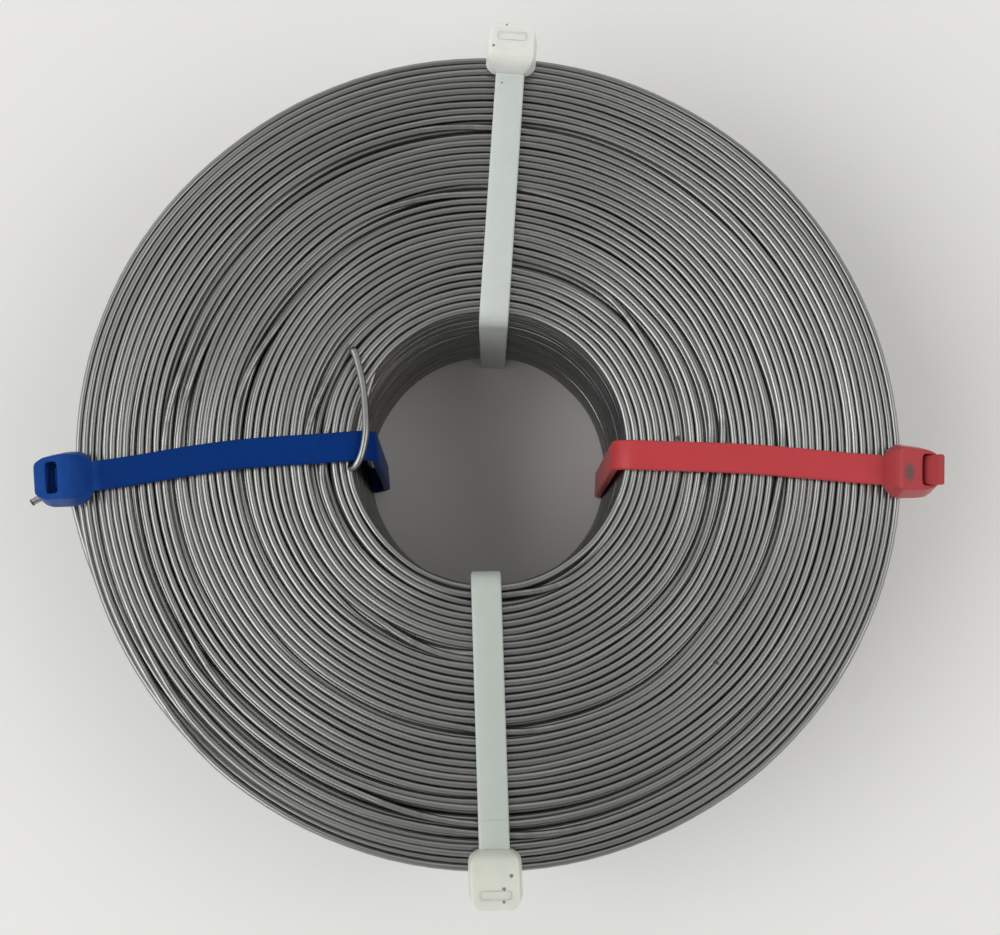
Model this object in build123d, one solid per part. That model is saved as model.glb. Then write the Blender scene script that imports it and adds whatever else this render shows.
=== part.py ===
from build123d import *
import os
from math import sqrt

# A coil of stainless lashing wire, lying on its end and held by four nylon cable ties.
# Lengths are in millimetres. The origin is on the axis of the coil, on the floor, with +Z up.

# Wire and winding
wire_diameter = 1.143
wire_sides = 6
bore_diameter = 44.45
coil_diameter = 133.35
coil_width = 44.45
layers_per_band = 7
turns_per_band = 8
shoulder_reach = 8.0
shoulder_drop = 1.5

# Straps of the cable ties
strap_width = 4.8
strap_thickness = 1.3
strap_bend = 3.0
seat_gap = 0.15
rim_gap = 0.3

# Heads of the cable ties: widest in the middle of their length, and tapered towards the top
head_length = 8.0
head_outer_width = 7.4
head_peak_width = 8.8
head_neck_width = 8.2
head_peak_share = 0.45
head_height = 5.2
head_draft = 8.0
head_outer_corner = 1.6
head_neck_corner = 2.4
natural_outer_wall = 1.3
coloured_outer_wall = 1.9
neck_height = 3.0
neck_length = 1.8
slot_gap = 0.3
slot_land = 1.2
slot_lip = 0.9
pawl_room = 1.1
pawl_width = 3.2

# Places of the four ties: direction from the axis in degrees, and sideways offset of the strap
far_angle = 86.3
far_offset = 0.5
near_angle = 271.2
near_offset = -0.8
blue_angle = 186.0
blue_offset = -2.2
red_angle = 356.7
red_offset = -0.1

# Slack of each strap at the rim and in the bore, and where its tail ends above or below the top of its head
far_rim_slack = 0.0
near_rim_slack = 1.2
blue_rim_slack = 1.5
red_rim_slack = 0.6
pulled_slack = 0.0
hook_room = 1.2
flush_tail = 0.1
blue_tail = -2.6
red_tail = 0.6
red_tail_lean = 2.5
red_tail_rise = 1.4

# Inner end of the wire, hooked round the blue strap at the mouth of the bore
lead_length = 5.0
hook_reach = 1.6
hook_lean = 1.2
hook_spring = 0.8
hook_radius_share = 0.45
tip_reach = 13.2

# Outer end of the wire, bent out beside the blue strap
stub_depth = 4.0
stub_lead = 8.0
stub_reach = 1.0
stub_show = 1.3
stub_bend = 1.6

# Sizes that follow from the ones above
wire_radius = wire_diameter / 2
bore_radius = bore_diameter / 2
coil_radius = coil_diameter / 2
groove_depth = wire_radius
end_bands = int((coil_radius - bore_radius) / (layers_per_band * wire_diameter))
wall_bands = int(coil_width / (turns_per_band * wire_diameter))
coil_floor = strap_thickness + seat_gap
coil_top = coil_floor + coil_width
strap_under = coil_top + seat_gap
strap_top = strap_under + strap_thickness
head_top = strap_under + head_height
rim_bend = shoulder_drop + groove_depth + seat_gap
bend_clear = strap_bend - seat_gap
bore_edge_reach = sqrt(bend_clear**2 - (bend_clear - groove_depth) ** 2)
bore_standoff = strap_bend - bore_edge_reach
blue_slack = wire_diameter + hook_room


def chord(radius, sideways):
    """How far along its direction a line, set off sideways, meets a circle round the axis."""
    return sqrt(radius**2 - sideways**2)


def end_drop(radius):
    """How far the turns at this radius lie below the flat of the coil's end."""
    past = max(radius - (coil_radius - shoulder_reach), 0)
    return shoulder_drop * (past / shoulder_reach) ** 2


def grooves(low, high, bands):
    """V grooves that part a face into equal bands of turns, as place along the face and depth into it."""
    pitch = (high - low) / bands
    points = []
    for index in range(1, bands):
        middle = low + index * pitch
        points += [(middle - groove_depth, 0), (middle, groove_depth), (middle + groove_depth, 0)]
    return points


def end_outline():
    """One end of the coil, from the edge of the bore to the rim, as radius and depth below the end."""
    bore_edge = bore_radius + bore_edge_reach
    rim_edge = coil_radius - groove_depth
    cuts = [(bore_edge, 0), *grooves(bore_radius, coil_radius, end_bands), (rim_edge, 0)]
    face = [(radius, end_drop(radius) + depth) for radius, depth in cuts]
    return [(bore_radius, groove_depth), *face, (coil_radius, shoulder_drop + groove_depth)]


def wire_coil():
    """The wound wire as one turned solid. The grooves on its ends and walls part it into bands of turns."""
    end = end_outline()
    upper = [(radius, coil_top - depth) for radius, depth in end]
    lower = [(radius, coil_floor + depth) for radius, depth in reversed(end)]
    rim_grooves = grooves(lower[0][1], upper[-1][1], wall_bands)
    bore_grooves = grooves(lower[-1][1], upper[0][1], wall_bands)
    outside = [(coil_radius - depth, height) for height, depth in reversed(rim_grooves)]
    inside = [(bore_radius + depth, height) for height, depth in bore_grooves]
    section = make_face(Plane.XZ * Polyline(*upper, *outside, *lower, *inside, close=True))
    return revolve(section, Axis.Z)


def strap_legs(offset, rim_slack, bore_slack):
    """Middle of the strap in the bore and outside the rim, along the tie's own direction."""
    half = strap_width / 2
    bore_leg = chord(bore_radius, abs(offset) + half) - bore_standoff - bore_slack - strap_thickness / 2
    rim_leg = chord(coil_radius, max(abs(offset) - half, 0)) + rim_gap + rim_slack + strap_thickness / 2
    return bore_leg, rim_leg


def tie_strap(legs, tail, lean, rise, start):
    """The strap, from the head over the top, down the bore, under the coil and up to its trimmed tail."""
    bore_leg, rim_leg = legs
    middle = strap_thickness / 2
    points = [
        (start, 0, strap_under + middle),
        (bore_leg, 0, strap_under + middle),
        (bore_leg, 0, middle),
        (rim_leg, 0, middle),
        (rim_leg, 0, head_top + tail),
    ]
    radii = [strap_bend + middle, strap_bend + middle, rim_bend + middle]
    if lean > 0:
        points.append((rim_leg + lean, 0, head_top + tail + rise))
        radii.append(strap_thickness)
    route = FilletPolyline(*points, radius=radii)
    across = Plane(origin=route @ 0, x_dir=(0, 1, 0), z_dir=route % 0)
    return sweep(across * Rectangle(strap_width, strap_thickness), path=route)


def head_block(inner, outer, ramp):
    """The outside of the head: a tapered block, rounded in plan, whose top ramps down towards the strap."""
    peak = outer - head_peak_share * head_length
    left = [(outer, head_outer_width / 2), (peak, head_peak_width / 2), (inner, head_neck_width / 2)]
    right = [(along, -across) for along, across in reversed(left)]
    plan = make_face(Polyline(*left, *right, close=True))
    ends = plan.vertices().group_by(Axis.X)
    plan = fillet(ends[-1], head_outer_corner)
    ends = plan.vertices().group_by(Axis.X)
    plan = fillet(ends[0], head_neck_corner)
    body = extrude(plan, amount=head_height, taper=head_draft)
    side = Polyline(
        (inner, 0),
        (outer, 0),
        (outer, head_height),
        (ramp, head_height),
        (inner, neck_height),
        close=True,
    )
    return body & extrude(make_face(Plane.XZ * side), amount=head_peak_width, both=True)


def tie_head(outer_wall):
    """The moulded head round its slot: a block that ramps down to the strap, with the locking pawl."""
    slot_side = strap_thickness / 2 + slot_gap
    outer = slot_side + outer_wall
    inner = outer - head_length
    block = head_block(inner, outer, -slot_side - slot_land)
    slope = Polyline(
        (inner - neck_length, strap_thickness),
        (inner, neck_height),
        (inner + head_neck_corner, neck_height),
        (inner + head_neck_corner, strap_thickness),
        close=True,
    )
    neck = extrude(make_face(Plane.XZ * slope), amount=strap_width / 2, both=True)
    slot_width = strap_width + 2 * slot_gap
    opening = Box(2 * slot_side, slot_width, head_height, align=(Align.CENTER, Align.CENTER, Align.MIN))
    pocket = Pos(-slot_side, 0, 0) * Box(
        pawl_room, slot_width, head_height - slot_lip, align=(Align.MAX, Align.CENTER, Align.MIN)
    )
    tongue = Polyline(
        (-slot_side - pawl_room, 0),
        (-slot_side, head_height / 2),
        (-slot_side, head_height - 2 * slot_lip),
        (-slot_side - pawl_room, head_height / 2),
        close=True,
    )
    pawl = extrude(make_face(Plane.XZ * tongue), amount=pawl_width / 2, both=True)
    return block + neck - opening - pocket + pawl


def cable_tie(angle, offset, outer_wall, rim_slack, bore_slack, tail, lean=0, rise=0):
    """One tie, moulded in one piece and pulled tight round the coil."""
    legs = strap_legs(offset, rim_slack, bore_slack)
    head = Pos(legs[1], 0, strap_under) * tie_head(outer_wall)
    start = head.bounding_box().min.X + neck_length + head_neck_corner
    strap = tie_strap(legs, tail, lean, rise, start)
    return Rot(0, 0, angle) * Pos(0, offset, 0) * (head + strap)


def wire_along(points, radii):
    """A length of the wire along straight runs joined by bends."""
    route = FilletPolyline(*points, radius=radii)
    section = Plane(origin=route @ 0, z_dir=route % 0) * RegularPolygon(wire_radius, wire_sides)
    length = sweep(section, path=route)
    print("bends", [round(radius, 2) for radius in radii], "volume over section times length",
          round(length.volume / (section.area * route.length), 4))
    return length


def inner_wire_end():
    """The wire leaves the wall of the bore, goes under the blue strap, turns up and lies back over it."""
    lay = bore_radius - wire_radius - seat_gap
    near_edge = blue_offset - strap_width / 2
    far_edge = blue_offset + strap_width / 2
    under = coil_top - wire_diameter
    over = strap_top + wire_radius + hook_spring
    turn = far_edge + hook_reach
    turn_lay = chord(lay, turn)
    points = [
        (chord(lay, near_edge - lead_length), near_edge - lead_length, under),
        (turn_lay, turn, under),
        (turn_lay - hook_lean, turn, over),
        (turn_lay - hook_lean, near_edge - tip_reach, coil_top + wire_radius + seat_gap),
    ]
    radii = [hook_radius_share * (over - under)] * 2
    return Rot(0, 0, blue_angle) * wire_along(points, radii)


def outer_wire_end():
    """The wire leaves the outer wall beside the blue strap and is bent out, past the end of the head."""
    lay = coil_radius + wire_radius + rim_gap
    height = coil_top - stub_depth
    turn = blue_offset + strap_width / 2 + stub_reach
    _, rim_leg = strap_legs(blue_offset, blue_rim_slack, blue_slack)
    head_end = rim_leg + strap_thickness / 2 + slot_gap + coloured_outer_wall
    points = [
        (chord(lay, turn + stub_lead), turn + stub_lead, height),
        (chord(lay, turn), turn, height),
        (head_end + stub_show, turn, height),
    ]
    return Rot(0, 0, blue_angle) * wire_along(points, [stub_bend])


natural_far = (far_angle, far_offset, natural_outer_wall, far_rim_slack, pulled_slack, flush_tail)
natural_near = (near_angle, near_offset, natural_outer_wall, near_rim_slack, pulled_slack, flush_tail)
blue = (blue_angle, blue_offset, coloured_outer_wall, blue_rim_slack, blue_slack, blue_tail)
red = (red_angle, red_offset, coloured_outer_wall, red_rim_slack, pulled_slack, red_tail)

nodes = {
    "wire_coil": wire_coil(),
    "inner_wire_end": inner_wire_end(),
    "outer_wire_end": outer_wire_end(),
    "natural_tie_far": cable_tie(*natural_far),
    "natural_tie_near": cable_tie(*natural_near),
    "blue_tie": cable_tie(*blue),
    "red_tie": cable_tie(*red, red_tail_lean, red_tail_rise),
}

os.makedirs("parts", exist_ok=True)
for name, solid in nodes.items():
    export_step(solid, f"parts/{name}.step")
print(end_bands, "bands of turns on each end and", wall_bands, "on each wall")
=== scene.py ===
# %% [markdown]
# # A coil of lashing wire
#
# This lesson dresses a coil of bright stainless wire. About 365 metres of it lie in layers, each
# layer a helix on top of the one before, and four nylon cable ties hold the layers together.
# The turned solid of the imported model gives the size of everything. What is added here is what
# the eye looks for: every visible turn of the wire, the moulded ties, and their finishes.

import math

import bmesh
import bpy
from mathutils import Matrix, Vector


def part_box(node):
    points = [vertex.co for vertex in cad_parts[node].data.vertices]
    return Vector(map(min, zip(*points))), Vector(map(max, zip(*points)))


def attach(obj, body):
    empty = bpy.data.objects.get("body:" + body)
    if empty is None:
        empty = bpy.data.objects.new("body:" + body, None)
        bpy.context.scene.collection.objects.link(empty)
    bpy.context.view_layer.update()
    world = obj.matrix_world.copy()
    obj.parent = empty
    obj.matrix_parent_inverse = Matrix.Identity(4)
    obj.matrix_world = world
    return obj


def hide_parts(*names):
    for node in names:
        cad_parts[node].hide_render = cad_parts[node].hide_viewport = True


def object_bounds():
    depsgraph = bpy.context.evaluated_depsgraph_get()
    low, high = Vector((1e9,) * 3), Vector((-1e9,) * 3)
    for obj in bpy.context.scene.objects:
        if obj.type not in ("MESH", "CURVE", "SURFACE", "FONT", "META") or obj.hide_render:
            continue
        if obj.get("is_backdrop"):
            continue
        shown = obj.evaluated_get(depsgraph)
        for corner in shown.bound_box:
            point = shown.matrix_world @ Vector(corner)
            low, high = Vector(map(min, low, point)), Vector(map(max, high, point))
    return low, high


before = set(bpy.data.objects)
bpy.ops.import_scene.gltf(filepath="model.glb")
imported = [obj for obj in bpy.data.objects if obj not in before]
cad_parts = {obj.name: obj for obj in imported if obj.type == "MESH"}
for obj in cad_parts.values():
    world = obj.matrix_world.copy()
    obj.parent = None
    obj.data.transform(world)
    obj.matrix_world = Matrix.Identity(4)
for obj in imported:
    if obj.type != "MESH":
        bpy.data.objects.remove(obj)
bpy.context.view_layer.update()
MM = 0.001
coil_low, coil_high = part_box("wire_coil")
print("coil in mm:", [round(side / MM, 2) for side in coil_high - coil_low])

# %% [markdown]
# ## Camera
#
# The photograph looks almost straight down, from a little in front of the coil, so that the far
# wall of the bore shows and the near one doesn't. A focal length in pixels of the photograph is
# easy to measure, and the lens follows from it and the width of the sensor.

# %% Camera over the coil
PHOTO_SIZE = Vector((1000, 935))
PHOTO_CENTRE = Vector((501, 394))
FOCAL_PIXELS = 1439
CAMERA_PLACE = Vector((0.0, -26.3, 277.2)) * MM
CAMERA_PITCH = math.radians(8.57)
CAMERA_YAW = math.radians(0.5)
CAMERA_ROLL = math.radians(0.09)

camera = bpy.data.objects.new("camera", bpy.data.cameras.new("camera"))
camera.data.lens = FOCAL_PIXELS / PHOTO_SIZE.x * camera.data.sensor_width
camera.data.shift_x = (PHOTO_SIZE.x / 2 - PHOTO_CENTRE.x) / PHOTO_SIZE.x
camera.data.shift_y = (PHOTO_CENTRE.y - PHOTO_SIZE.y / 2) / PHOTO_SIZE.x
camera.data.clip_start = 0.01
turn = Matrix.Rotation(CAMERA_PITCH, 4, "X") @ Matrix.Rotation(-CAMERA_YAW, 4, "Y")
camera.matrix_world = Matrix.Translation(CAMERA_PLACE) @ turn @ Matrix.Rotation(CAMERA_ROLL, 4, "Z")
bpy.context.scene.collection.objects.link(camera)
bpy.context.scene.camera = camera
print("lens in mm:", round(camera.data.lens, 2))

# %% [markdown]
# ## Arithmetic on sockets
#
# Geometry and shader trees are both full of small sums. Written node by node they are hard to
# read, so one class wraps an output socket, and each sum on it adds its Math node. Every other
# node comes from the one method `add`, which sets the settings first, because some of them decide
# which sockets a node has.

# %% A socket that does arithmetic
class Socket:
    """One output of a node. Arithmetic with numbers or other sockets adds Math nodes to its tree."""

    def __init__(self, output):
        self.output = output
        self.tree = output.id_data

    @staticmethod
    def find(sockets, key):
        """The socket with this name, or at this place, among those that the node's settings leave on."""
        usable = [socket for socket in sockets if socket.enabled]
        if isinstance(key, int):
            return usable[key]
        return next(socket for socket in usable if socket.name == key)

    @staticmethod
    def add(tree, kind, settings=None, inputs=None, pick=0):
        """Add a node of any kind and return one of its outputs, if it has any."""
        node = tree.nodes.new(kind)
        for name, value in (settings or {}).items():
            if name == "stops":
                for stop, (place, colour) in zip(node.color_ramp.elements, value):
                    stop.position = place
                    stop.color = colour
            else:
                setattr(node, name, value)
        for key, value in (inputs or {}).items():
            socket = Socket.find(node.inputs, key)
            if isinstance(value, Socket):
                tree.links.new(value.output, socket)
            else:
                socket.default_value = value
        return Socket(Socket.find(node.outputs, pick)) if node.outputs else None

    def __getitem__(self, key):
        """Another output of the same node."""
        return Socket(Socket.find(self.output.node.outputs, key))

    def math(self, operation, *others):
        values = dict(enumerate((self, *others)))
        return Socket.add(self.tree, "ShaderNodeMath", {"operation": operation}, values)

    def smooth(self, low, high):
        """Rise from 0 at low to 1 at high, with an easy start and end."""
        settings = {"interpolation_type": "SMOOTHSTEP"}
        values = {"Value": self, "From Min": low, "From Max": high}
        return Socket.add(self.tree, "ShaderNodeMapRange", settings, values)

    def __add__(self, other):
        return self.math("ADD", other)

    def __sub__(self, other):
        return self.math("SUBTRACT", other)

    def __rsub__(self, other):
        return Socket.add(self.tree, "ShaderNodeMath", {"operation": "SUBTRACT"}, {0: other, 1: self})

    def __mul__(self, other):
        return self.math("MULTIPLY", other)

    def __truediv__(self, other):
        return self.math("DIVIDE", other)

    def __pow__(self, other):
        return self.math("POWER", other)

    __radd__ = __add__
    __rmul__ = __mul__


def vector(tree, x, y, z):
    """Three values as one vector."""
    return Socket.add(tree, "ShaderNodeCombineXYZ", inputs={"X": x, "Y": y, "Z": z})


def noise(tree, place, scale=1.0, detail=1.0):
    """Smooth random values round zero, mostly within a half either way."""
    values = {"Vector": place, "Scale": scale, "Detail": detail}
    return Socket.add(tree, "ShaderNodeTexNoise", inputs=values) * 2 - 1


def clamped(value):
    """The value, held between 0 and 1."""
    return value.math("MINIMUM", 1.0).math("MAXIMUM", 0.0)


# %% [markdown]
# ## Growing a piece from a tree
#
# A Geometry Nodes tree gets a named input for each size. A piece is grown by setting those inputs
# on a modifier, evaluating it once, and keeping the result as a plain mesh, so that nothing
# procedural is left in the piece.

# %% Build a tree, and grow a piece from it
def new_tree(name, sizes):
    """A Geometry Nodes tree with these named inputs, and the node that gives them."""
    tree = bpy.data.node_groups.new(name, "GeometryNodeTree")
    tree.interface.new_socket("Geometry", in_out="OUTPUT", socket_type="NodeSocketGeometry")
    tree.interface.new_socket("Geometry", in_out="INPUT", socket_type="NodeSocketGeometry")
    for label, kind in sizes.items():
        tree.interface.new_socket(label, in_out="INPUT", socket_type="NodeSocket" + kind)
    return tree, Socket.add(tree, "NodeGroupInput")


def end_tree(tree, geometry, finish):
    """Shade the geometry smooth, realize it, give it its material and hand it out."""
    soft = Socket.add(tree, "GeometryNodeSetShadeSmooth", inputs={"Geometry": geometry})
    real = Socket.add(tree, "GeometryNodeRealizeInstances", inputs={"Geometry": soft})
    painted = Socket.add(tree, "GeometryNodeSetMaterial", inputs={"Geometry": real, "Material": finish})
    Socket.add(tree, "NodeGroupOutput", inputs={"Geometry": painted})


def triangles(mesh):
    return sum(len(face.vertices) - 2 for face in mesh.polygons)


def grow(name, tree, sizes, start=None):
    """Evaluate the tree on a mesh with these sizes, and keep the result as a plain mesh object."""
    source = bpy.data.objects.new(name + "_source", start or bpy.data.meshes.new(name))
    bpy.context.scene.collection.objects.link(source)
    modifier = source.modifiers.new("grow", "NODES")
    modifier.node_group = tree
    for item in tree.interface.items_tree:
        if item.in_out == "INPUT" and item.name in sizes:
            modifier[item.identifier] = sizes[item.name]
    graph = bpy.context.evaluated_depsgraph_get()
    mesh = bpy.data.meshes.new_from_object(source.evaluated_get(graph), depsgraph=graph)
    bpy.data.objects.remove(source)
    piece = bpy.data.objects.new(name, mesh)
    bpy.context.scene.collection.objects.link(piece)
    print(name, "has", triangles(mesh), "triangles")
    return piece


# %% [markdown]
# ## The finish of the wire
#
# The wire is drawn through dies, which leaves it bright with faint lines along its length. The
# lines have to follow the wire round the coil, so the tree that sweeps the wire stores how far
# along it each point is and where on the round section it lies, and the material reads those two
# attributes. Noise that is stretched along the wire is then the drawing marks. Longer patches are
# duller than the rest, the cut tips are dark, and a few grains of dirt lie on the top.

# %% Bright drawn wire
def new_material(name, settings):
    """A material with a Principled shader whose plain sockets are set, its tree and that shader."""
    material = bpy.data.materials.new(name)
    material.use_nodes = True
    shader = material.node_tree.nodes["Principled BSDF"]
    for label, value in settings.items():
        shader.inputs[label].default_value = value
    return material, material.node_tree, shader


def feed(shader, label, socket):
    """Let a socket drive one input of the shader."""
    shader.id_data.links.new(socket.output, shader.inputs[label])


def mix_colour(tree, factor, first, second):
    settings = {"data_type": "RGBA"}
    return Socket.add(tree, "ShaderNodeMix", settings, {"Factor": factor, "A": first, "B": second})


def attribute(tree, name, pick):
    return Socket.add(tree, "ShaderNodeAttribute", {"attribute_name": name}, pick=pick)


SPOT_GRAIN = 1.5
SPOT_RAGGED = 0.4
SPOT_EDGE = (0.6, 1.0)


def spot(tree, place, centre, reach):
    """1 on a mark round a point, as far as its reach each way, with a soft and ragged edge."""
    scaled = Socket.add(tree, "ShaderNodeVectorMath", {"operation": "DIVIDE"}, {0: place, 1: reach})
    middle = [value / limit for value, limit in zip(centre, reach)]
    ends = {0: scaled, 1: middle}
    away = Socket.add(tree, "ShaderNodeVectorMath", {"operation": "DISTANCE"}, ends, "Value")
    ragged = away + noise(tree, scaled, scale=SPOT_GRAIN) * SPOT_RAGGED
    return 1 - ragged.smooth(*SPOT_EDGE)


WIRE_BRIGHT = (0.43, 0.43, 0.415, 1)
WIRE_DULL = (0.20, 0.203, 0.198, 1)
CUT_STEEL = (0.07, 0.07, 0.07, 1)
DIRT = (0.09, 0.055, 0.03, 1)
DIRT_PLACES = [Vector((36.24, -34.3, 45.8)), Vector((30.7, 1.4, 45.8))]
DIRT_REACH = Vector((0.7, 0.6, 0.6))
LINES_PER_METRE = 60
LINES_ROUND = 1.6
LINES_SHIFT = 3
PATCHES_PER_METRE = 9
PATCHES_SHIFT = 7
DULL_LEVEL = 0.45
DULL_BY_LINES = 0.35
DULL_BY_PATCHES = 0.8
CUT_EDGE = (0.985, 0.995)
WIRE_ROUGHNESS = 0.24
DULL_ROUGHNESS = 0.14
DIRT_ROUGHNESS = 0.4


def wire_finish():
    material, tree, shader = new_material("bright_wire", {"Metallic": 1.0})
    along = attribute(tree, "along", "Fac")
    section = attribute(tree, "section", "Vector")
    turn = attribute(tree, "turn", "Fac")
    across = Socket.add(tree, "ShaderNodeSeparateXYZ", inputs={"Vector": section})
    side = across["X"] * LINES_ROUND
    up = across["Y"] * LINES_ROUND + turn * LINES_SHIFT
    lines = noise(tree, vector(tree, along * LINES_PER_METRE, side, up), detail=2.0)
    patches = noise(tree, vector(tree, along * PATCHES_PER_METRE, turn * PATCHES_SHIFT, 0.0), detail=2.0)
    dull = clamped(DULL_LEVEL + lines * DULL_BY_LINES + patches * DULL_BY_PATCHES)
    colour = mix_colour(tree, dull, WIRE_BRIGHT, WIRE_DULL)
    place = Socket.add(tree, "ShaderNodeTexCoord", pick="Object")
    dirty = sum(spot(tree, place, centre * MM, DIRT_REACH * MM) for centre in DIRT_PLACES)
    colour = mix_colour(tree, attribute(tree, "cut", "Fac").smooth(*CUT_EDGE), colour, CUT_STEEL)
    feed(shader, "Base Color", mix_colour(tree, dirty, colour, DIRT))
    feed(shader, "Roughness", WIRE_ROUGHNESS + dull * DULL_ROUGHNESS + dirty * DIRT_ROUGHNESS)
    feed(shader, "Metallic", 1 - dirty)
    return material


bright_wire = wire_finish()

# %% [markdown]
# ## The turns on the ends of the coil
#
# Each layer is a helix, so on the ends of the coil only the last turn of each layer shows. The
# wire stays in its place for most of a turn, then dives under the turn that it has just laid.
# On its last turn it climbs to the next layer instead, and starts back. The dark lens-shaped gaps
# on the real coil are those dives, and a wire that has dived lies in the hollow beside its layer.
# The coil isn't quite round, so its outer layers bulge on two sides. One tree lays all of it: every
# point of the wire is worked out from its index, as a number of turns before or after the climb
# between a pair of layers.

# %% Sizes of the winding
WIRE_DIAMETER = 1.143 * MM
WIRE_RADIUS = WIRE_DIAMETER / 2
COIL_RADIUS = coil_high.x
BORE_RADIUS = 22.225 * MM
COIL_FLOOR = coil_low.z
COIL_TOP = coil_high.z
LAYERS = 39
TURNS_IN_LAYER = 34
SHOULDER_REACH = 8.0 * MM
SHOULDER_DROP = 1.5 * MM
OVAL = 0.8 * MM
NESTED = 0.8
layer_pitch = (COIL_RADIUS - BORE_RADIUS - WIRE_DIAMETER) / (LAYERS - 1)
turn_pitch = (COIL_TOP - COIL_FLOOR) / TURNS_IN_LAYER
print("layers", round(layer_pitch / MM, 3), "mm apart, turns", round(turn_pitch / MM, 3), "mm apart")


# %% Sweep the wire along its curve
WIRE_SIZES = {"Wire Radius": "Float", "Sides": "Int", "Finish": "Material"}


def store(tree, geometry, name, kind, value):
    """Keep a value of each point under a name, for later nodes and for the material."""
    settings = {"data_type": kind, "domain": "POINT"}
    values = {"Geometry": geometry, "Name": name, "Value": value}
    return Socket.add(tree, "GeometryNodeStoreNamedAttribute", settings, values)


def sweep_wire(tree, given, curve):
    """A round wire along the curve, which remembers its length and its place on the section."""
    length = Socket.add(tree, "GeometryNodeSplineParameter", pick="Length")
    upright = Socket.add(tree, "GeometryNodeSetCurveNormal", {"mode": "Z_UP"}, {"Curve": curve})
    path = store(tree, upright, "along", "FLOAT", length)
    size = {"Resolution": given["Sides"], "Radius": given["Wire Radius"]}
    ring = Socket.add(tree, "GeometryNodeCurvePrimitiveCircle", inputs=size)
    position = Socket.add(tree, "GeometryNodeInputPosition")
    unit = Socket.add(tree, "ShaderNodeVectorMath", {"operation": "NORMALIZE"}, {0: position})
    section = store(tree, ring, "section", "FLOAT_VECTOR", unit)
    return Socket.add(
        tree, "GeometryNodeCurveToMesh", inputs={"Curve": path, "Profile Curve": section, "Fill Caps": True}
    )


# %% Tree for the turns on one end
CLIMB_SHARE = 0.07
SHORT_DIVE_SHARE = 0.08
LONG_DIVE_SHARE = 0.26
OVAL_AT = math.radians(162)
NESTING_RISE = 3
LAYER_SLACK = 0.01

# How fast a noise changes round the coil, and from one layer or turn to the next
SLOW_WANDER = (1.1, 0.09)
QUICK_WANDER = (2.6, 0.8)
TOP_LIFT = (2.2, 0.7)
TOP_LIFT_SHIFT = 9
WALL_SPREAD = (0.7, 1.3)
WALL_LIFT = (1.2, 0.35)


def waver(tree, east, north, layer, scales, seed, shift=0.0):
    """Random values that close on themselves round the coil, and change from layer to layer."""
    round_scale, layer_scale = scales
    across = layer * layer_scale + seed + shift
    return noise(tree, vector(tree, east * round_scale, north * round_scale, across))


def bulge(angle):
    """1 at both ends of the coil's longest diameter, and 0 at those of its shortest."""
    return (angle - OVAL_AT).math("COSINE") ** 4


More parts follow.
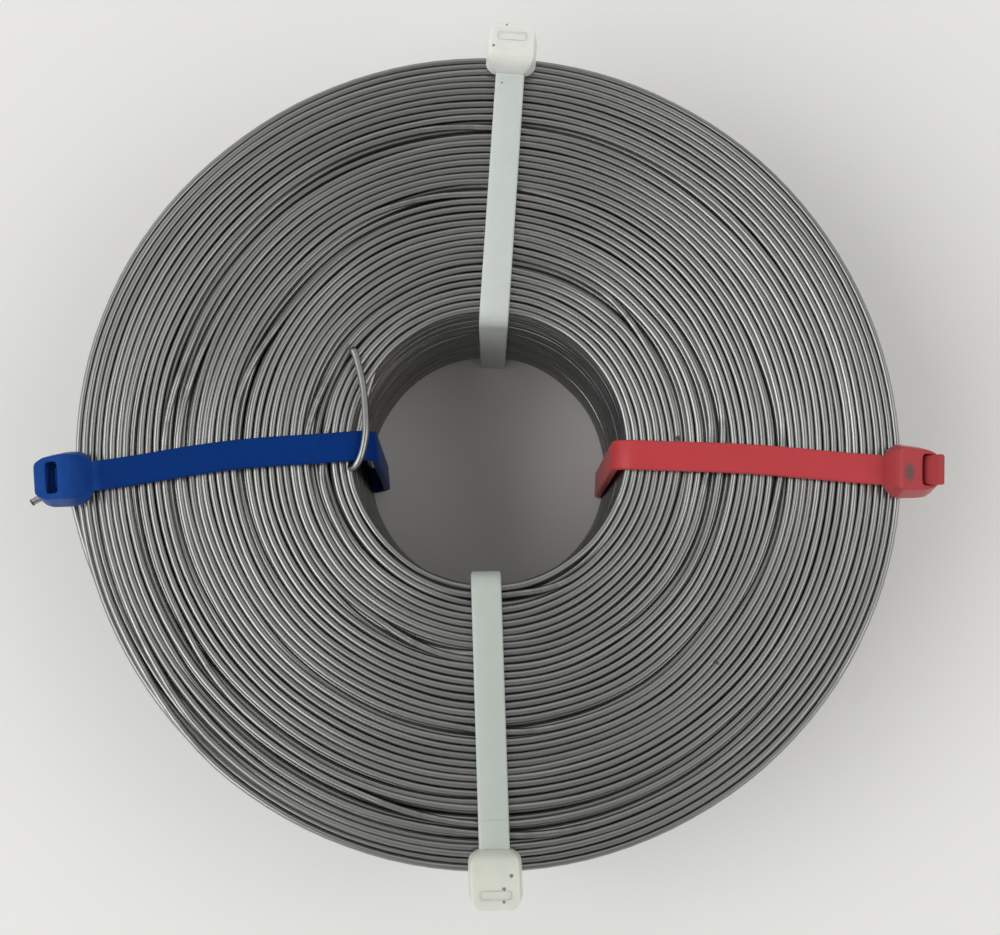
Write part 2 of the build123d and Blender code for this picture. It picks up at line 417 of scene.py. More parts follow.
def end_turns_tree():
    tree, given = new_tree("end_turns", {
        "Pairs": "Int", "Points": "Int", "Turns": "Float", "First Layer": "Float", "Last Layer": "Float",
        "Inner Radius": "Float", "Layer Pitch": "Float", "Turn Pitch": "Float",
        "Face": "Float", "Down": "Float", "Shoulder Start": "Float", "Shoulder Reach": "Float",
        "Shoulder Drop": "Float", "Wander": "Float", "Jitter": "Float", "Sink": "Float", "Oval": "Float",
        "Seed": "Int",
        **WIRE_SIZES,
    })
    index = Socket.add(tree, "GeometryNodeInputIndex")
    pair = (index / given["Points"]).math("FLOOR")
    step = (index - pair * given["Points"]) / (given["Points"] - 1)
    turn = (step * 2 - 1) * given["Turns"]

    def chance(low, high, offset):
        values = {"Min": low, "Max": high, "ID": pair, "Seed": given["Seed"] + offset}
        return Socket.add(tree, "FunctionNodeRandomValue", {"data_type": "FLOAT"}, values)

    angle = (turn + chance(0.0, 1.0, 1)) * math.tau
    layer = given["First Layer"] + pair * 2 + turn.smooth(-CLIMB_SHARE / 2, CLIMB_SHARE / 2)
    east = angle.math("COSINE")
    north = angle.math("SINE")
    inside = layer * (given["Last Layer"] - layer) / (given["Last Layer"] * given["Last Layer"] / 4)
    slow = waver(tree, east, north, layer, SLOW_WANDER, given["Seed"])
    quick = waver(tree, east, north, layer, QUICK_WANDER, given["Seed"] * -1)
    radius = (given["Inner Radius"] + layer * given["Layer Pitch"]
              + slow * given["Wander"] * inside.math("MAXIMUM", 0.0) + quick * given["Jitter"])
    fall = turn.math("ABSOLUTE")
    laid = fall.math("FLOOR")
    dive = chance(SHORT_DIVE_SHARE, LONG_DIVE_SHARE, 2)
    depth = laid + (fall - laid).smooth(1 - dive, 1.0)
    past = ((radius - given["Shoulder Start"]) / given["Shoulder Reach"]).math("MAXIMUM", 0.0)
    lift = waver(tree, east, north, layer, TOP_LIFT, given["Seed"], TOP_LIFT_SHIFT)
    below = (given["Wire Radius"] + depth * given["Turn Pitch"] + past * past * given["Shoulder Drop"]
             + (lift + 1) * given["Sink"])
    share = layer / given["Last Layer"]
    nested = depth.math("MINIMUM", 1.0) * (inside * NESTING_RISE).math("MINIMUM", 1.0)
    beside = nested * given["Layer Pitch"] / 2
    reach = radius + beside + share * share * bulge(angle) * given["Oval"]
    place = vector(tree, east * reach, north * reach, given["Face"] - given["Down"] * below)
    points = Socket.add(
        tree, "GeometryNodePoints", inputs={"Count": given["Pairs"] * given["Points"], "Position": place}
    )
    points = store(tree, points, "pair", "INT", pair)
    points = store(tree, points, "turn", "FLOAT", layer)
    before = layer.math("LESS_THAN", -LAYER_SLACK)
    outside = before + layer.math("GREATER_THAN", given["Last Layer"] + LAYER_SLACK)
    points = Socket.add(
        tree, "GeometryNodeDeleteGeometry", {"domain": "POINT"}, {"Geometry": points, "Selection": outside}
    )
    group = Socket.add(tree, "GeometryNodeInputNamedAttribute", {"data_type": "INT"}, {"Name": "pair"})
    ordered = {"Points": points, "Curve Group ID": group}
    curves = Socket.add(tree, "GeometryNodePointsToCurves", inputs=ordered)
    end_tree(tree, sweep_wire(tree, given, curves), given["Finish"])
    return tree


# %% Turns on the top and on the bottom
end_turns = end_turns_tree()
shared_sizes = {
    "Last Layer": LAYERS - 1.0,
    "Inner Radius": BORE_RADIUS + WIRE_RADIUS, "Layer Pitch": layer_pitch, "Turn Pitch": NESTED * turn_pitch,
    "Shoulder Start": COIL_RADIUS - SHOULDER_REACH, "Shoulder Reach": SHOULDER_REACH,
    "Shoulder Drop": SHOULDER_DROP, "Wander": 0.9 * MM, "Jitter": 0.18 * MM, "Sink": 0.28 * MM,
    "Oval": OVAL, "Wire Radius": WIRE_RADIUS, "Finish": bright_wire,
}
top_turns = grow("top_turns", end_turns, {
    **shared_sizes, "Pairs": 20, "Points": 480, "Turns": 2.0, "First Layer": -1.0, "Face": COIL_TOP,
    "Down": 1.0, "Sides": 10, "Seed": 24,
})
bottom_turns = grow("bottom_turns", end_turns, {
    **shared_sizes, "Pairs": 20, "Points": 300, "Turns": 1.3, "First Layer": 0.0, "Face": COIL_FLOOR,
    "Down": -1.0, "Sides": 10, "Seed": 11,
})

# %% [markdown]
# ## The walls of the coil
#
# Outside and in the bore a whole layer shows. It is one helix, and here too each turn stays level
# for most of its length and steps up to the next in a short stretch. The turns lie a little apart,
# so the next layer shows between them: the same helix, half a pitch higher and deeper in the coil.

# %% Outer wall and bore
def wall_turns_tree():
    tree, given = new_tree("wall_turns", {
        "Turns": "Int", "Points": "Int", "Radius": "Float", "Bottom": "Float", "Turn Pitch": "Float",
        "Oval": "Float", "Spread": "Float", "Jitter": "Float", "Seed": "Int", **WIRE_SIZES,
    })
    index = Socket.add(tree, "GeometryNodeInputIndex")
    turn = index / given["Points"]
    angle = turn * math.tau
    east = angle.math("COSINE")
    north = angle.math("SINE")
    laid = turn.math("FLOOR")
    rise = laid + (turn - laid).smooth(1 - LONG_DIVE_SHARE, 1.0)
    spread = waver(tree, east, north, rise, WALL_SPREAD, given["Seed"])
    lift = waver(tree, east, north, rise, WALL_LIFT, given["Seed"] * -1)
    radius = given["Radius"] + bulge(angle) * given["Oval"] + spread * given["Spread"]
    height = given["Bottom"] + rise * given["Turn Pitch"] + lift * given["Jitter"]
    place = vector(tree, east * radius, north * radius, height)
    count = given["Turns"] * given["Points"] + 1
    points = Socket.add(tree, "GeometryNodePoints", inputs={"Count": count, "Position": place})
    points = store(tree, points, "turn", "FLOAT", turn)
    curve = Socket.add(tree, "GeometryNodePointsToCurves", inputs={"Points": points})
    end_tree(tree, sweep_wire(tree, given, curve), given["Finish"])
    return tree


wall_turns = wall_turns_tree()
OUTER_FOOT_SHARE = 0.1
shared_wall_sizes = {
    "Turn Pitch": turn_pitch, "Wire Radius": WIRE_RADIUS, "Sides": 10, "Finish": bright_wire,
}
outer_wall = {
    **shared_wall_sizes, "Turns": 31, "Points": 132, "Radius": COIL_RADIUS - WIRE_RADIUS,
    "Bottom": COIL_FLOOR + SHOULDER_DROP + WIRE_RADIUS + OUTER_FOOT_SHARE * turn_pitch,
    "Oval": OVAL, "Spread": 0.12 * MM, "Jitter": 0.12 * MM, "Seed": 3,
}
bore_wall = {
    **shared_wall_sizes, "Turns": 32, "Points": 96, "Radius": BORE_RADIUS + WIRE_RADIUS,
    "Bottom": COIL_FLOOR + WIRE_RADIUS + turn_pitch,
    "Oval": 0.0, "Spread": 0.3 * MM, "Jitter": 0.1 * MM, "Seed": 8,
}
nested_depth = math.sqrt(WIRE_DIAMETER ** 2 - (turn_pitch / 2) ** 2)


def layer_behind(wall, inward):
    """Sizes of the next layer, in the hollows of the wall: inward is 1 away from the axis, else -1."""
    return {
        **wall, "Turns": wall["Turns"] - 1, "Radius": wall["Radius"] + inward * nested_depth,
        "Bottom": wall["Bottom"] + turn_pitch / 2,
    }


walls = [
    grow("outer_turns", wall_turns, outer_wall),
    grow("outer_turns_behind", wall_turns, layer_behind(outer_wall, -1)),
    grow("bore_turns", wall_turns, bore_wall),
    grow("bore_turns_behind", wall_turns, layer_behind(bore_wall, 1)),
]

for piece in (top_turns, bottom_turns, *walls):
    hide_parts("wire_coil")
    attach(piece, "root")

# %% [markdown]
# ## The free ends of the wire
#
# The inner end comes out of the bore, passes under the blue strap, turns up and lies back over it.
# The outer end is bent out beside the head of the same tie. Both are drawn as a few points that a
# smooth spline runs through, in the frame of the blue tie: along its strap, across it, and up.

# %% Wire ends
def wire_end_tree():
    tree, given = new_tree("wire_end", {"Points": "Int", **WIRE_SIZES})
    curve = Socket.add(tree, "GeometryNodeMeshToCurve", inputs={"Mesh": given["Geometry"]})
    smooth = {"spline_type": "CATMULL_ROM"}
    curve = Socket.add(tree, "GeometryNodeCurveSplineType", smooth, {"Curve": curve})
    fine = {"Curve": curve, "Count": given["Points"]}
    curve = Socket.add(tree, "GeometryNodeResampleCurve", {"mode": "COUNT"}, fine)
    factor = Socket.add(tree, "GeometryNodeSplineParameter", pick="Factor")
    curve = store(tree, curve, "cut", "FLOAT", factor)
    end_tree(tree, sweep_wire(tree, given, curve), given["Finish"])
    return tree


def chain(name, points):
    """A mesh of points joined one after the other."""
    mesh = bpy.data.meshes.new(name)
    mesh.from_pydata(points, [(index, index + 1) for index in range(len(points) - 1)], [])
    return mesh


INNER_END = [
    (16.6, -16.2, 44.2), (18.9, -10.6, 44.6), (20.7, -4.6, 44.8), (21.7, -0.6, 45.1), (22.4, 1.1, 46.2),
    (21.6, 1.2, 47.5), (20.5, -0.2, 48.2), (19.7, -2.4, 48.4), (19.2, -5.2, 48.3), (19.1, -11.0, 47.6),
    (19.7, -15.8, 46.95), (20.3, -18.2, 46.6),
]
OUTER_END = [
    (64.0, 18.1, 41.9), (66.3, 10.5, 41.9), (67.6, 4.6, 41.9), (68.1, 2.2, 41.9), (69.2, 1.1, 41.95),
    (71.0, 0.5, 42.0), (72.6, 0.35, 42.0), (74.0, 0.65, 42.0), (74.9, 1.1, 42.0),
]
BLUE_ANGLE = math.radians(186.0)
SHARP_TIP = math.radians(50)
wire_end = wire_end_tree()
in_blue_tie = Matrix.Rotation(BLUE_ANGLE, 4, "Z") @ Matrix.Scale(MM, 4)
for name, node, route in (
    ("inner_end", "inner_wire_end", INNER_END),
    ("outer_end", "outer_wire_end", OUTER_END),
):
    points = [in_blue_tie @ Vector(point) for point in route]
    piece = grow(name, wire_end, {
        "Points": 96, "Wire Radius": WIRE_RADIUS, "Sides": 20, "Finish": bright_wire,
    }, chain(name, points))
    piece.data.set_sharp_from_angle(angle=SHARP_TIP)
    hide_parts(node)
    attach(piece, "root")

# %% [markdown]
# ## The finish of the ties
#
# Cable ties are moulded nylon: an even colour with a soft sheen, a little milky in the natural ties,
# with a fine grain from the mould. The head of each tie is painted a colour of its own: lighter on the
# natural and blue ties, as painted light that comes through the deep nylon of the head, and darker on
# the red tie. The mesh of each tie keeps the place of every point in the tie's own frame, in
# millimetres, so that marks can be set on a strap or a head wherever the tie lies.

# %% Moulded nylon
HEAD_START = 62.6
HEAD_FLOOR = 46.3
HEAD_BLEND = 0.8
FLOOR_BLEND = 0.4
CLOUD_SCALE = 0.35
GRAIN_SCALE = 9.0
SHADE_LEVEL = 0.45
SHADE_BY_CLOUD = 0.5
SHADE_BY_GRAIN = 0.12
HEAD_SHADE_SHARE = 0.5
GRAIN_ROUGHNESS = 0.06
CLOUD_ROUGHNESS = 0.05
GRAIN_BUMP = 0.12
GRAIN_DEPTH = 0.05 * MM


def nylon_finish(name, shades, roughness, settings, marks):
    """Two shades of nylon, a third on the head as painted light, flow marks, a mould grain and specks."""
    material, tree, shader = new_material(name, settings)
    place = attribute(tree, "tie_place", "Vector")
    cloud = noise(tree, place, scale=CLOUD_SCALE, detail=2.0)
    grain = noise(tree, place, scale=GRAIN_SCALE, detail=3.0)
    shade = clamped(SHADE_LEVEL + cloud * SHADE_BY_CLOUD + grain * SHADE_BY_GRAIN)
    axis = Socket.add(tree, "ShaderNodeSeparateXYZ", inputs={"Vector": place})
    on_head = axis["X"].smooth(HEAD_START - HEAD_BLEND, HEAD_START + HEAD_BLEND)
    # The head gets the third colour: painted light, lighter on the natural and blue heads for light through
    # their deep nylon, and darker on the red one.
    painted_head_share = on_head * axis["Z"].smooth(HEAD_FLOOR - FLOOR_BLEND, HEAD_FLOOR)
    strap_colour = mix_colour(tree, shade, shades[0], shades[1])
    painted_head_colour = mix_colour(tree, shade * HEAD_SHADE_SHARE, shades[2], shades[1])
    colour = mix_colour(tree, painted_head_share, strap_colour, painted_head_colour)
    for centre, reach, strength, tint in marks:
        colour = mix_colour(tree, spot(tree, place, centre, reach) * strength, colour, tint)
    feed(shader, "Base Color", colour)
    feed(shader, "Roughness", roughness + grain * GRAIN_ROUGHNESS + cloud * CLOUD_ROUGHNESS)
    relief = {"Strength": GRAIN_BUMP, "Distance": GRAIN_DEPTH, "Height": grain}
    feed(shader, "Normal", Socket.add(tree, "ShaderNodeBump", inputs=relief))
    return material


MILKY = {"Subsurface Weight": 0.35, "Subsurface Scale": 1.2 * MM, "Subsurface Radius": (1.0, 0.95, 0.85)}
# The third colour of each list is painted on the head: lighter than the strap on the natural and blue ties,
# as painted light through the head's deep nylon, and darker on the red tie.
CLEAR = [(0.66, 0.70, 0.675, 1), (0.60, 0.64, 0.61, 1), (0.91, 0.91, 0.84, 1)]
# The near natural tie is the same nylon, painted darker as painted shade on the near side, and a little
# greener.
SHADED_GREENISH = [(0.54, 0.60, 0.545, 1), (0.49, 0.54, 0.49, 1), (0.77, 0.78, 0.68, 1)]
BLUE = [(0.0020, 0.035, 0.20, 1), (0.0012, 0.026, 0.155, 1), (0.014, 0.073, 0.325, 1)]
RED = [(0.56, 0.058, 0.066, 1), (0.49, 0.046, 0.053, 1), (0.43, 0.062, 0.070, 1)]
GRIME = (0.10, 0.085, 0.06, 1)
GREY_BROWN_SPOT = (0.11, 0.09, 0.08, 1)
# Painted shade for a crease across the near strap.
CREASE_SHADE = (0.42, 0.44, 0.41, 1)


def speck(along, across, up=51.2, size=0.35):
    """A dark grain of dirt on a head, or lower down on a strap."""
    return (along, across, up), (size, size, 1.0), 0.8, GRIME


FINISHES = {
    "natural_tie_far": nylon_finish("natural_nylon_far", CLEAR, 0.42, MILKY, [
        speck(69.5, 1.05, size=0.22), speck(65.8, 3.0, size=0.28), speck(60.93, 1.29, 47.3, 0.22),
    ]),
    "natural_tie_near": nylon_finish("natural_nylon_near", SHADED_GREENISH, 0.42, MILKY, [
        speck(66.0, 3.0), speck(67.86, 1.85), speck(69.75, 1.81, 51.2, 0.3),
        # A painted shade line across the near strap, where it is creased.
        ((58.3, 0.5, 47.3), (0.22, 2.6, 0.6), 0.5, CREASE_SHADE),
    ]),
    "blue_tie": nylon_finish("blue_nylon", BLUE, 0.40, {"Specular IOR Level": 0.06}, []),
    "red_tie": nylon_finish("red_nylon", RED, 0.36, {"Specular IOR Level": 0.22}, [
        # A grey-brown spot on the top of the red head.
        ((66.68, -0.75, 51.2), (1.0, 1.9, 1.2), 0.6, GREY_BROWN_SPOT),
        ((66.72, -0.7, 51.2), (0.7, 1.4, 1.2), 0.6, GREY_BROWN_SPOT),
    ]),
}

# %% [markdown]
# ## The straps
#
# A strap is a flat band that goes over the coil, down the bore, under the coil and up outside the
# rim into its own head. Sweeping a rounded rectangle along that route is the natural way. The route
# has only its corners, and each corner carries the radius that the band is bent to there. On top a
# strap bows a little to one side, and in the bore it leans to the wall and sways on its way down.

# %% Tree for a strap
BEND_STEPS = 16
EDGE_STEPS = 3


def round_corners(tree, curve, radius, steps):
    values = {"Curve": curve, "Count": steps, "Radius": radius, "Limit Radius": True}
    return Socket.add(tree, "GeometryNodeFilletCurve", {"mode": "POLY"}, values)


def strap_tree():
    tree, given = new_tree("strap", {
        "Width": "Float", "Thickness": "Float", "Edge": "Float", "Spacing": "Float", "Finish": "Material",
    })
    curve = Socket.add(tree, "GeometryNodeMeshToCurve", inputs={"Mesh": given["Geometry"]})
    bend = Socket.add(tree, "GeometryNodeInputNamedAttribute", {"data_type": "FLOAT"}, {"Name": "bend"})
    curve = round_corners(tree, curve, bend, BEND_STEPS)
    curve = Socket.add(
        tree, "GeometryNodeResampleCurve", {"mode": "LENGTH"}, {"Curve": curve, "Length": given["Spacing"]}
    )
    band = Socket.add(
        tree, "GeometryNodeCurvePrimitiveQuadrilateral",
        inputs={"Width": given["Width"], "Height": given["Thickness"]},
    )
    band = round_corners(tree, band, given["Edge"], EDGE_STEPS)
    swept = Socket.add(
        tree, "GeometryNodeCurveToMesh", inputs={"Curve": curve, "Profile Curve": band, "Fill Caps": True}
    )
    end_tree(tree, swept, given["Finish"])
    return tree


# %% Sizes of the ties, in millimetres
STRAP_WIDTH = 4.8
STRAP_THICKNESS = 1.3
STRAP_EDGE = 0.4
RIM_BEND = 2.87
STRAP_CLEARANCE = 0.15
STRAP_UNDER = COIL_TOP / MM + STRAP_CLEARANCE
STRAP_IN_HEAD = 2.4
HEAD_LENGTH = 8.0
HEAD_HEIGHT = 5.2
HEAD_TOP = STRAP_UNDER + HEAD_HEIGHT
SLOT_GAP = 0.3
SLOT_LAND = 1.6
END_DRAFT = 0.05
NATURAL_HEAD = {
    "slot": "natural_nylon", "wall": 1.3, "half": 4.2, "draft": 0.09, "taper": 0.0, "round": 1.0,
    "collar": 3.0, "reach": 0.1, "gap": 0.05, "mouth": (-0.64, 0.46), "mouth_half": 2.2, "tail": 0.04,
    "lean": 0.0, "bend": 3.0,
}
COLOURED_HEAD = {"wall": 1.9, "draft": 0.19, "collar": 2.0, "gap": 0.15, "mouth_half": 2.5}
TIES = {
    "natural_tie_far": {
        **NATURAL_HEAD, "angle": 86.3, "offset": 0.5, "bore": 20.6, "rim": 67.625, "bow": 0.0, "drift": 0.0,
        "neck": -0.75, "foot": 0.0, "sway": 0.0,
    },
    "natural_tie_near": {
        **NATURAL_HEAD, "angle": 271.2, "offset": -0.8, "bore": 20.6, "rim": 68.825, "bow": 0.0, "drift": 0.6,
        "neck": 0.4, "foot": 0.0, "sway": 0.0,
    },
    "blue_tie": {
        **COLOURED_HEAD, "slot": "blue_nylon", "angle": 186.0, "offset": -2.2, "bore": 18.4, "rim": 69.125,
        "bow": -0.8, "drift": 0.6, "half": 4.5, "taper": 0.4, "round": 0.8, "neck": 0.35, "reach": -0.2,
        "mouth": (-1.2, 0.65), "tail": -2.6, "lean": 0.0, "bend": 3.65, "foot": 1.2, "sway": 1.5,
    },
    "red_tie": {
        **COLOURED_HEAD, "slot": "red_nylon", "angle": 356.7, "offset": -0.1, "bore": 20.6, "rim": 68.225,
        "bow": 0.45, "drift": -0.1, "half": 4.4, "taper": 0.35, "round": 1.1, "neck": -0.75, "reach": 0.65,
        "collar": 2.8, "mouth": (0.55, 2.3), "tail": 1.3, "lean": 3.08, "bend": 3.0, "foot": 0.5,
        "sway": -1.3,
    },
}
LEAN_START = 4.6


# %% A strap along its route
def strap_mesh(name, tie, finish):
    """The strap of one tie, in the tie's own frame."""
    middle = STRAP_THICKNESS / 2
    inner = tie["rim"] + middle + SLOT_GAP + tie["wall"] - HEAD_LENGTH
    top = STRAP_UNDER + middle
    end = HEAD_TOP + tie["tail"]
    route = [(inner + STRAP_IN_HEAD, 0, top), (tie["bore"], 0, top), (tie["bore"] + tie["foot"], 0, middle),
             (tie["rim"], 0, middle), (tie["rim"] + tie["lean"], 0, end)]
    bends = [0, tie["bend"], tie["bend"], RIM_BEND, 0]
    if tie["lean"]:
        route.insert(-1, (tie["rim"], 0, HEAD_TOP - LEAN_START))
        bends.insert(-1, STRAP_THICKNESS)
    start = chain(name, route)
    start.attributes.new("bend", "FLOAT", "POINT").data.foreach_set("value", bends)
    piece = grow(name, strap, {
        "Width": STRAP_WIDTH, "Thickness": STRAP_THICKNESS, "Edge": STRAP_EDGE, "Spacing": 0.6,
        "Finish": finish,
    }, start)
    mesh = piece.data
    bpy.data.objects.remove(piece)
    for vertex in mesh.vertices:
        share = min(max((vertex.co.x - tie["bore"]) / (inner - tie["bore"]), 0), 1)
        if vertex.co.z > STRAP_UNDER - tie["bend"]:
            vertex.co.y += tie["bow"] * math.sin(share * math.pi) ** 2
        vertex.co.y += tie["sway"] * (1 - share) * max(1 - vertex.co.z / STRAP_UNDER, 0)
    return mesh


strap = strap_tree()

# %% [markdown]
# ## The heads
#
# A head is a block with soft edges, widest in its middle and narrower at the top. Past two round
# shoulders it ramps down to the strap. A slot goes right through it for the tail, and the middle
# rows lead it up to a mouth with a place and size of its own. Soft moulded forms are what
# subdivision surfaces are for: a coarse cage of stations along the head, with rows across it, leaves
# out the cells of the slot and is then smoothed. Rows close to an edge keep that edge crisp.

# %% Cage of a head
EDGE_HOLD = 0.25
TOP_HOLD = 1.6 * EDGE_HOLD
SLOT_CREASE = 0.9
RAMP_POWER = 1.6
RAMP_EASE = 0.5
RAMP_LENGTH = 1.8
NECK_RAISE = 0.1
COLLAR_STEP, COLLAR_SHARE = 0.2, 0.75
SHOULDER_STEP, FULL_STEP = 0.7, 1.5
COLLAR_WIDTH_SHARE, SHOULDER_WIDTH_SHARE = 0.70, 0.89
LAND_STEP = 0.6
END_STEP, END_TRIM = 0.45, 0.05
END_BULGE, END_TRIM_SHARE = 0.1, 0.45
CORNER_POWER = 12
END_ROUND_SHARES = {11: 0.8, 12: 0.7}
ROW_SHARES = (1.0, 0.88, 0.68, 0.62, 0.0)
SLOT_ROWS = (3, 4, 5)
MOUTH_PULL = (0, 0.5, 1, 1, 1, 1, 1, 0.5, 0)


def head_stations(tie):
    """Places along the head from its neck to its outer end, each with half a width and a height."""
    outer = STRAP_THICKNESS / 2 + SLOT_GAP + tie["wall"]
    neck = outer - HEAD_LENGTH - tie["neck"]
    outer += tie["reach"]
    ramp = -STRAP_THICKNESS / 2 - SLOT_GAP - SLOT_LAND
    rise = max(ramp - RAMP_EASE, neck + RAMP_LENGTH)
    half = tie["half"]
    slot = STRAP_THICKNESS / 2 + tie["gap"]

    def slope(along):
        share = (ramp - along) / (ramp - neck)
        return HEAD_HEIGHT - (HEAD_HEIGHT - tie["collar"]) * share ** RAMP_POWER

    def narrowed(share):
        return half - share * tie["taper"]

    return [
        (neck, STRAP_WIDTH / 2, STRAP_THICKNESS + NECK_RAISE),
        (neck + COLLAR_STEP, COLLAR_WIDTH_SHARE * narrowed(1.0), COLLAR_SHARE * tie["collar"]),
        (neck + SHOULDER_STEP, SHOULDER_WIDTH_SHARE * narrowed(1.0), slope(neck + SHOULDER_STEP)),
        (neck + FULL_STEP, narrowed(0.9), slope(neck + FULL_STEP)),
        (rise, narrowed(0.2), slope(rise)),
        (ramp + LAND_STEP, half, HEAD_HEIGHT),
        (-slot - EDGE_HOLD, narrowed(0.2), HEAD_HEIGHT),
        (-slot, narrowed(0.25), HEAD_HEIGHT),
        (0, narrowed(0.4), HEAD_HEIGHT),
        (slot, narrowed(0.6), HEAD_HEIGHT),
        (slot + EDGE_HOLD, narrowed(0.7), HEAD_HEIGHT),
        (outer - END_STEP, narrowed(1.0) - END_TRIM, HEAD_HEIGHT),
        (outer + END_BULGE, narrowed(1.0) - END_TRIM_SHARE * tie["round"], HEAD_HEIGHT),
    ]


def head_mesh(name, tie):
    """The head as a smoothed cage, in a frame whose origin is in its slot, under the strap."""
    stations = head_stations(tie)
    slot_stations = [7, 8, 9]
    slot_half = tie["mouth_half"]
    low, high = tie["mouth"]
    mouth = {6: low - EDGE_HOLD, 7: low, 8: (low + high) / 2, 9: high, 10: high + EDGE_HOLD}
    end_round = {station: share * tie["round"] for station, share in END_ROUND_SHARES.items()}
    form = bmesh.new()
    crease = form.edges.layers.float.new("crease_edge")

    def corner(station, row, height):
        """One corner of the cage: the outside leans in with height, and the slot leads to its mouth."""
        along, half, _ = stations[station]
        half -= tie["draft"] * height
        side = [share * half for share in ROW_SHARES]
        if station in mouth:
            side[2:4] = [slot_half + EDGE_HOLD, slot_half]
            along += MOUTH_PULL[row] * (mouth[station] - along) * height / HEAD_HEIGHT
        across = side + [-value for value in reversed(side[:-1])]
        if station in end_round:
            along -= END_DRAFT * height + end_round[station] * (across[row] / half) ** CORNER_POWER
        return form.verts.new((along, across[row], height))

    count, rows = len(stations), 9
    top = [[corner(i, j, stations[i][2]) for j in range(rows)] for i in range(count)]
    floor = [[corner(i, j, 0.0) for j in range(rows)] for i in range(count)]

    def wall(route, sharp=()):
        """Bands of faces from the floor to the top along a closed route, with some sharp corners."""
        low = [corner(i, j, EDGE_HOLD) for i, j in route]
        high = [corner(i, j, stations[i][2] - TOP_HOLD) for i, j in route]
        rings = [[floor[i][j] for i, j in route], low, high, [top[i][j] for i, j in route]]
        for lower, upper in zip(rings, rings[1:]):
            for index in range(len(route)):
                after = (index + 1) % len(route)
                form.faces.new((lower[index], lower[after], upper[after], upper[index]))
            for index in sharp:
                form.edges.get((lower[index], upper[index]))[crease] = SLOT_CREASE

    for i in range(count - 1):
        for j in range(rows - 1):
            if i in slot_stations[:-1] and j in SLOT_ROWS[:-1]:
                continue
            for sheet in (top, floor):
                form.faces.new((sheet[i][j], sheet[i + 1][j], sheet[i + 1][j + 1], sheet[i][j + 1]))
    last, far = count - 1, rows - 1
    wall([(i, 0) for i in range(count)] + [(last, j) for j in range(1, rows)]
         + [(i, far) for i in range(last - 1, -1, -1)] + [(0, j) for j in range(far - 1, 0, -1)])
    first_i, mid_i, last_i = slot_stations
    first_j, mid_j, last_j = SLOT_ROWS
    wall([(first_i, first_j), (mid_i, first_j), (last_i, first_j), (last_i, mid_j), (last_i, last_j),
          (mid_i, last_j), (first_i, last_j), (first_i, mid_j)], sharp=(0, 2, 4, 6))
    for sheet in (top, floor):
        form.verts.remove(sheet[mid_i][mid_j])
    bmesh.ops.recalc_face_normals(form, faces=form.faces)
    mesh = bpy.data.meshes.new(name)
    form.to_mesh(mesh)
    form.free()
    return smoothed(mesh)


def smoothed(mesh, levels=2):
    """The mesh after a subdivision surface."""
    holder = bpy.data.objects.new(mesh.name, mesh)
    bpy.context.scene.collection.objects.link(holder)
    modifier = holder.modifiers.new("smooth", "SUBSURF")
    modifier.levels = modifier.render_levels = levels
    graph = bpy.context.evaluated_depsgraph_get()
    result = bpy.data.meshes.new_from_object(holder.evaluated_get(graph), depsgraph=graph)
    bpy.data.objects.remove(holder)
    return result


# %% [markdown]
# ## The pawl
#
# Inside the slot a small tongue with saw teeth holds the tail. It shows only in the head whose tail is
# cut off below the mouth of the slot. Its side view is drawn once and pushed out to both sides.

# %% Locking pawl
PAWL_WIDTH = 3.2
PAWL_TEETH = 3
PAWL_PITCH = 0.75
PAWL_BACK = 0.3
PAWL_FOOT, PAWL_LIP_BACK, PAWL_LIP = 0.5, 3.7, 3.9
LIP_REACH = 0.12
FIRST_TOOTH = 3.75
TOOTH_TIP, TOOTH_ROOT, TOOTH_FALL_SHARE = 0.3, 0.08, 0.6
TONGUE_REACH, TONGUE_FOOT = 0.02, 0.8


def pawl_mesh(name, tie):
    """The tongue of one head, in the frame of that head."""
    root = -STRAP_THICKNESS / 2 - tie["gap"]
    back = root - PAWL_BACK
    side = [(back, PAWL_FOOT), (back, PAWL_LIP_BACK), (root + LIP_REACH, PAWL_LIP)]
    for tooth in range(PAWL_TEETH):
        height = FIRST_TOOTH - tooth * PAWL_PITCH
        side += [(root + TOOTH_TIP, height), (root + TOOTH_ROOT, height - TOOTH_FALL_SHARE * PAWL_PITCH)]
    side.append((root + TONGUE_REACH, TONGUE_FOOT))
    form = bmesh.new()
    rings = []
    for across in (-PAWL_WIDTH / 2, PAWL_WIDTH / 2):
        rings.append([form.verts.new((along, across, up)) for along, up in side])
    for index in range(len(side)):
        after = (index + 1) % len(side)
        form.faces.new((rings[0][index], rings[0][after], rings[1][after], rings[1][index]))
    for ring in rings:
        form.faces.new(ring)
    bmesh.ops.recalc_face_normals(form, faces=form.faces)
    mesh = bpy.data.meshes.new(name)
    form.to_mesh(mesh)
    form.free()
    return mesh


# %% Put the ties together
SHARP_EDGE = math.radians(40)


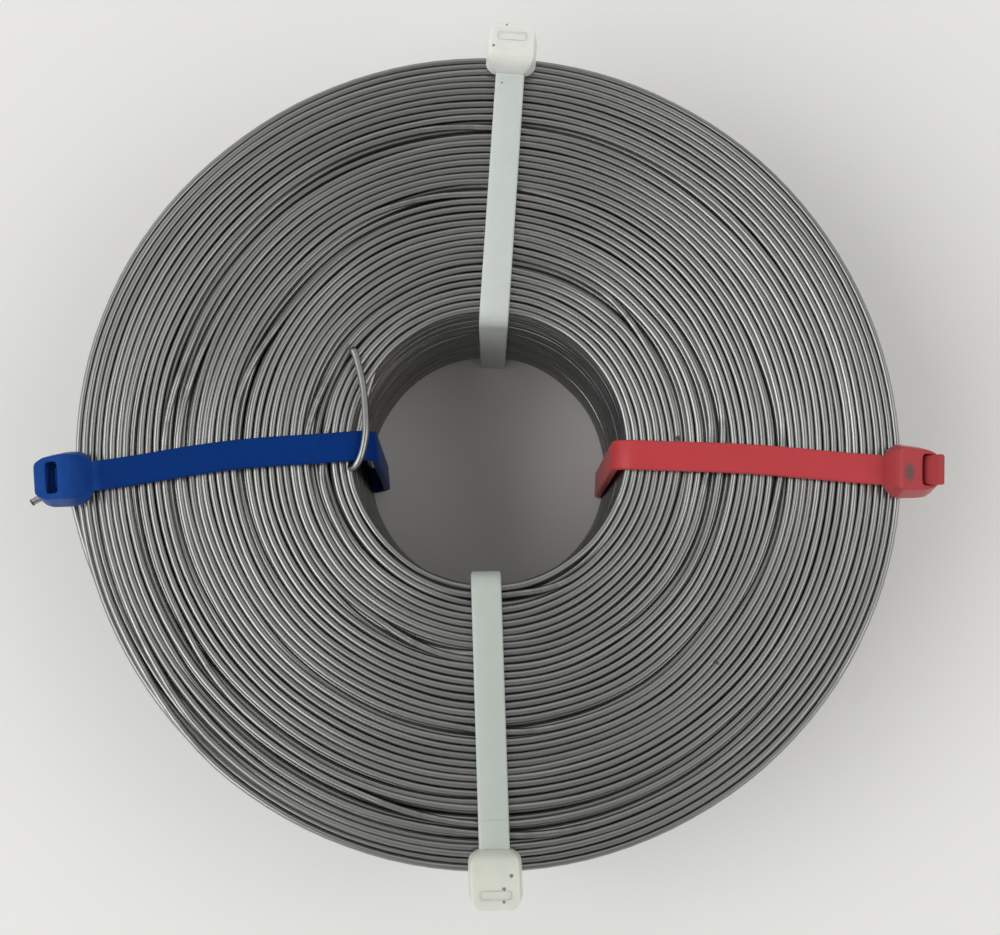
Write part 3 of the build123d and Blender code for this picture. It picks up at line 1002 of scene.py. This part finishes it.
def tie_piece(node, tie):
    """Strap, head and pawl of one tie as one mesh, at its place round the coil."""
    name = node + "_moulding"
    finish = FINISHES[node]
    to_head = Matrix.Translation((tie["rim"], 0, STRAP_UNDER))
    form = bmesh.new()
    form.from_mesh(strap_mesh(name + "_strap", tie, finish))
    moulded = [head_mesh(name + "_head", tie)]
    if tie["tail"] < -STRAP_THICKNESS:
        moulded.append(pawl_mesh(name + "_pawl", tie))
    for mesh in moulded:
        mesh.transform(to_head)
        form.from_mesh(mesh)
    mesh = bpy.data.meshes.new(name)
    form.to_mesh(mesh)
    form.free()
    for vertex in mesh.vertices:
        share = (vertex.co.x - tie["bore"]) / (tie["rim"] - tie["bore"])
        vertex.co.y += tie["drift"] * max(share, 0)
    places = [value for vertex in mesh.vertices for value in vertex.co]
    mesh.attributes.new("tie_place", "FLOAT_VECTOR", "POINT").data.foreach_set("vector", places)
    turned = Matrix.Rotation(math.radians(tie["angle"]), 4, "Z") @ Matrix.Translation((0, tie["offset"], 0))
    mesh.transform(Matrix.Scale(MM, 4) @ turned)
    mesh.shade_smooth()
    mesh.set_sharp_from_angle(angle=SHARP_EDGE)
    mesh.materials.clear()
    mesh.materials.append(finish)
    piece = bpy.data.objects.new(name, mesh)
    bpy.context.scene.collection.objects.link(piece)
    print(name, "has", triangles(mesh), "triangles")
    return piece


for node, tie in TIES.items():
    piece = tie_piece(node, tie)
    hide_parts(node)
    tie["slot"]
    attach(piece, "root")

# %% [markdown]
# ## Floor and light
#
# The coil lies on something pale. Wires are little mirrors: the streaks on each one are two broad
# bright surfaces halfway up at the left and right, and the grey between them is a dimmer patch of
# the room, above and a little in front. So there are two large soft lamps, and a room that is even
# apart from that patch and a slightly brighter side at the far left.

# %% Floor, lamps and room
FLOOR_HALF = 3.0
floor_mesh = bpy.data.meshes.new("floor")
floor_corners = [(-1, -1, 0), (1, -1, 0), (1, 1, 0), (-1, 1, 0)]
floor_mesh.from_pydata([Vector(corner) * FLOOR_HALF for corner in floor_corners], [], [(0, 1, 2, 3)])
floor = bpy.data.objects.new("floor", floor_mesh)
bpy.context.scene.collection.objects.link(floor)
PALE = (0.93, 0.922, 0.89, 1)
floor_mesh.materials.append(new_material("pale_floor", {"Base Color": PALE, "Roughness": 0.9})[0])
floor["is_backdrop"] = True


def soft_lamp(name, place, size, power):
    """A rectangular lamp that faces the coil."""
    lamp = bpy.data.lights.new(name, "AREA")
    lamp.shape = "RECTANGLE"
    lamp.size, lamp.size_y = size
    lamp.energy = power
    holder = bpy.data.objects.new(name, lamp)
    holder.location = place
    holder.rotation_euler = (-Vector(place)).to_track_quat("-Z", "Y").to_euler()
    bpy.context.scene.collection.objects.link(holder)


LAMPS = {
    "left_lamp": {"place": (-0.95, -0.31, 1.11), "size": (1.3, 1.1), "power": 9.4},
    "right_lamp": {"place": (0.9, -0.22, 1.18), "size": (1.2, 1.0), "power": 4.7},
}
for name, lamp in LAMPS.items():
    soft_lamp(name, **lamp)

OVERHEAD = 0.22
AROUND = 0.58
DIM_PATCH = Vector((0.15, -0.25, 1.0)).normalized()
WINDOW_SIDE = Vector((-0.4, 0.9, 0.0)).normalized()
WINDOW_SHARE = 0.12
DIM_EDGE = (0.72, 0.96)
world = bpy.data.worlds.new("room")
world.use_nodes = True
bpy.context.scene.world = world
room = world.node_tree.nodes["Background"]
room.inputs["Color"].default_value = (1, 1, 1, 1)
direction = Socket.add(world.node_tree, "ShaderNodeTexCoord", pick="Generated")


def toward(side):
    """How nearly a direction in the room points to one side: 1 straight at it, and -1 away."""
    ends = {0: direction, 1: side}
    return Socket.add(world.node_tree, "ShaderNodeVectorMath", {"operation": "DOT_PRODUCT"}, ends, "Value")


dimmed = toward(DIM_PATCH).smooth(*DIM_EDGE) * (AROUND - OVERHEAD)
strength = AROUND - dimmed + toward(WINDOW_SIDE) * WINDOW_SHARE
world.node_tree.links.new(strength.output, room.inputs["Strength"])
bpy.context.scene.view_settings.view_transform = "Standard"

# %% Size of the dressed coil
dressed_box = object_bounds()
print("dressed size in mm:", [round(side / MM, 2) for side in dressed_box[1] - dressed_box[0]])
